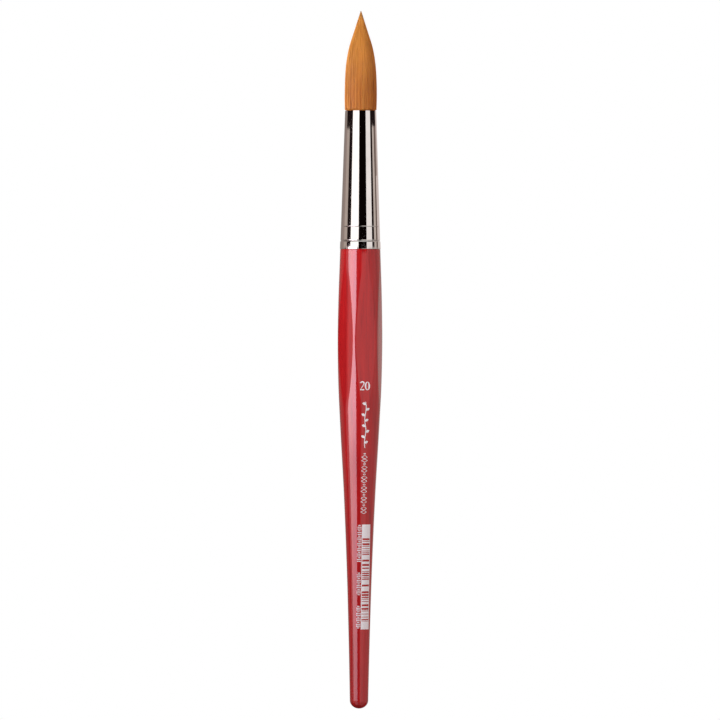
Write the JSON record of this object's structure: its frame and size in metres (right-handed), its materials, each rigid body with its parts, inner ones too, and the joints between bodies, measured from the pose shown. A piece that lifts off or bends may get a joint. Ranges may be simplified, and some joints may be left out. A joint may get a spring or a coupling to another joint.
{
  "type": "round paint brush",
  "caption": "Large round brush with a pointed synthetic tuft that flexes and springs back, a crimped nickel ferrule and a red lacquered wooden handle with planed flats.",
  "frame": {"origin": "on the brush's axis, in the middle of the grip: the widest station of the handle's belly, 140 mm above the butt", "axes": "+Z along the brush's axis towards the tuft's point; -Y is the outward normal of the flat that carries the printed size number, the first of the six flats"},
  "size_m": [0.0174, 0.0156, 0.265],
  "materials": {
    "beech": "fine-grained bare beech, turned and sanded",
    "red_lacquer": "several coats of transparent red lacquer, high gloss",
    "nickel": "nickel-plated drawn brass, polished, with faint lengthwise drawing marks",
    "clear_glue": "clear set adhesive",
    "amber_resin": "amber cast epoxy",
    "waxed_thread": "waxed linen thread",
    "golden_fibre": "fine tapered synthetic filament, golden orange, satin sheen"
  },
  "bodies": {
    "handle": {"handle_blank": "beech", "lacquer_coat": "red_lacquer", "ferrule": "nickel", "ferrule_adhesive": "clear_glue", "tuft_cement": "amber_resin", "tuft_thread": "waxed_thread", "tuft_heel": "golden_fibre"},
    "belly_lower": {"tuft_belly_lower": "golden_fibre"},
    "belly_upper": {"tuft_belly_upper": "golden_fibre"},
    "shoulder": {"tuft_shoulder": "golden_fibre"},
    "point": {"tuft_point": "golden_fibre"}
  },
  "joints": [
    {"name": "belly_nod", "type": "hinge", "parent": "handle", "child": "belly_lower", "pos_m": [0, 0, 0.0915], "axis": [1, 0, 0], "range_deg": [-15, 15], "stiffness_Nm_per_rad": 0.06},
    {"name": "belly_sway", "type": "hinge", "parent": "belly_lower", "child": "belly_upper", "pos_m": [0, 0, 0.1003], "axis": [0, 1, 0], "range_deg": [-15, 15], "stiffness_Nm_per_rad": 0.04},
    {"name": "shoulder_nod", "type": "hinge", "parent": "belly_upper", "child": "shoulder", "pos_m": [0, 0, 0.1082], "axis": [1, 0, 0], "range_deg": [-24, 24], "stiffness_Nm_per_rad": 0.02},
    {"name": "point_sway", "type": "hinge", "parent": "shoulder", "child": "point", "pos_m": [0, 0, 0.1165], "axis": [0, 1, 0], "range_deg": [-24, 24], "stiffness_Nm_per_rad": 0.006}
  ]
}
